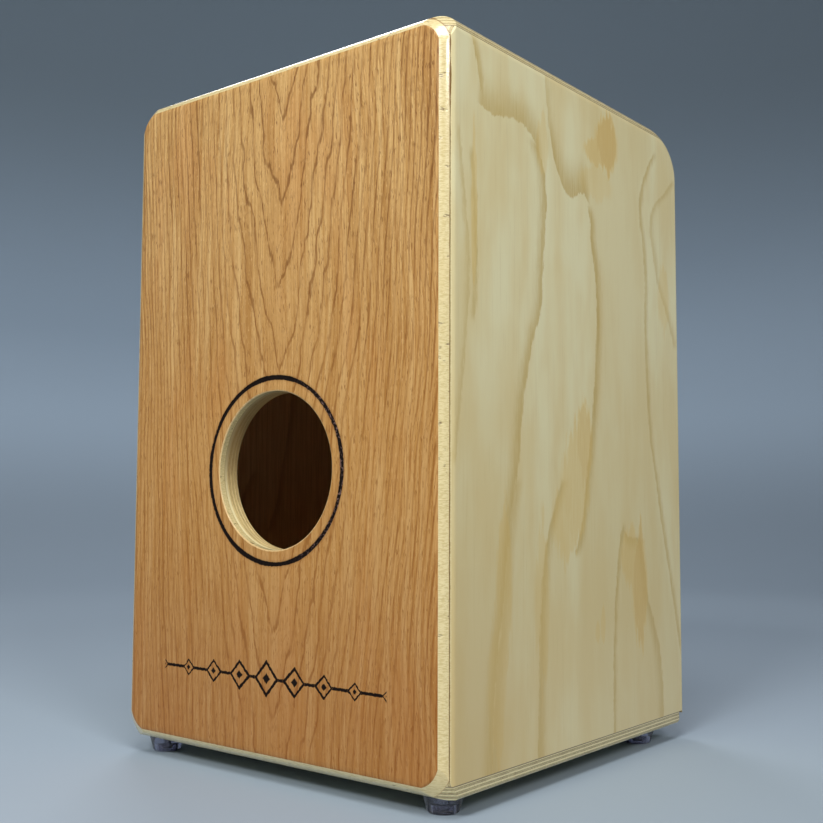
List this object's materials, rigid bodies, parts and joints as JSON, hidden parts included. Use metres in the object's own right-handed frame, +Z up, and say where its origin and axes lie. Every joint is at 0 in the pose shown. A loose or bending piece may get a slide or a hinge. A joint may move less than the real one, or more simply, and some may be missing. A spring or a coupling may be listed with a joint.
{
  "type": "cajon",
  "caption": "Box drum to sit on: plywood box with a veneered sound-hole panel, a thin playing board with snare strings behind it, and rubber feet.",
  "frame": {"origin": "on the floor, under the middle of the box", "axes": "+Z up, +Y from the sound hole towards the playing board, +X to the right of a player who faces +Y"},
  "size_m": [0.302, 0.317, 0.492],
  "materials": {
    "side_board": "clear satin lacquer over pine plywood",
    "seat_board": "clear gloss lacquer over seven-ply pine board, sanded round at the edges",
    "floor_board": "clear satin lacquer over seven-ply pine board",
    "thin_board": "bare thin plywood edge under clear lacquer",
    "face_veneer": "open-grained veneer under clear satin lacquer",
    "tapa_face_veneer": "open-grained veneer under clear satin lacquer",
    "ring_board": "plywood, turned edge under clear lacquer",
    "batten_wood": "planed, unfinished softwood",
    "screw_zinc": "zinc plated",
    "clear_rubber": "clear soft plastic, slightly smoky",
    "bolt_black": "black oxide",
    "guide_steel": "zinc-plated sheet",
    "carriage_brass": "machined, lightly tarnished",
    "string_steel": "wound steel string"
  },
  "bodies": {
    "shell": {"side_panel_left": "side_board", "side_panel_right": "side_board", "seat_panel": "seat_board", "floor_panel": "floor_board", "back_panel": "thin_board", "tapa": "thin_board", "back_veneer": "face_veneer", "tapa_veneer": "tapa_face_veneer", "sound_hole_ring": "ring_board", "thigh_rail": "batten_wood", "front_batten_left": "batten_wood", "front_batten_right": "batten_wood", "front_batten_lower": "batten_wood", "back_batten_left": "batten_wood", "back_batten_right": "batten_wood", "back_batten_upper": "batten_wood", "back_batten_lower": "batten_wood", "seat_batten_left": "batten_wood", "seat_batten_right": "batten_wood", "floor_batten_left": "batten_wood", "floor_batten_right": "batten_wood", "tapa_screws": "screw_zinc", "foot_screws": "screw_zinc", "foot_washers": "screw_zinc", "guide_screws": "screw_zinc", "anchor_screws": "screw_zinc", "tension_washers": "screw_zinc", "foot_rear_left": "clear_rubber", "foot_rear_right": "clear_rubber", "foot_front_left": "clear_rubber", "foot_front_right": "clear_rubber", "tension_guide_left": "guide_steel", "tension_guide_right": "guide_steel", "string_anchor": "carriage_brass"},
    "tension_screw_left": {"tension_screw_left": "bolt_black"},
    "tension_carriage_left": {"tension_carriage_left": "carriage_brass", "snare_string_1": "string_steel", "snare_string_2": "string_steel"},
    "tension_screw_right": {"tension_screw_right": "bolt_black"},
    "tension_carriage_right": {"tension_carriage_right": "carriage_brass", "snare_string_3": "string_steel", "snare_string_4": "string_steel"}
  },
  "joints": [
    {"name": "tension_turn_left", "type": "hinge", "parent": "shell", "child": "tension_screw_left", "pos_m": [-0.04, 0.147, 0.0124], "axis": [0, 0, 1], "range_deg": [-1800, 1080]},
    {"name": "string_pull_left", "type": "slide", "parent": "shell", "child": "tension_carriage_left", "axis": [0, 0, 1], "range_m": [-0.0024, 0.004], "deforming": ["snare_string_1", "snare_string_2"]},
    {"name": "tension_turn_right", "type": "hinge", "parent": "shell", "child": "tension_screw_right", "pos_m": [0.04, 0.147, 0.0124], "axis": [0, 0, 1], "range_deg": [-1800, 1080]},
    {"name": "string_pull_right", "type": "slide", "parent": "shell", "child": "tension_carriage_right", "axis": [0, 0, 1], "range_m": [-0.0024, 0.004], "deforming": ["snare_string_3", "snare_string_4"]}
  ],
  "couplings": [
    {"joint": "tension_turn_left", "follows": "string_pull_left", "rad_per_m": -7854},
    {"joint": "tension_turn_right", "follows": "string_pull_right", "rad_per_m": -7854}
  ]
}
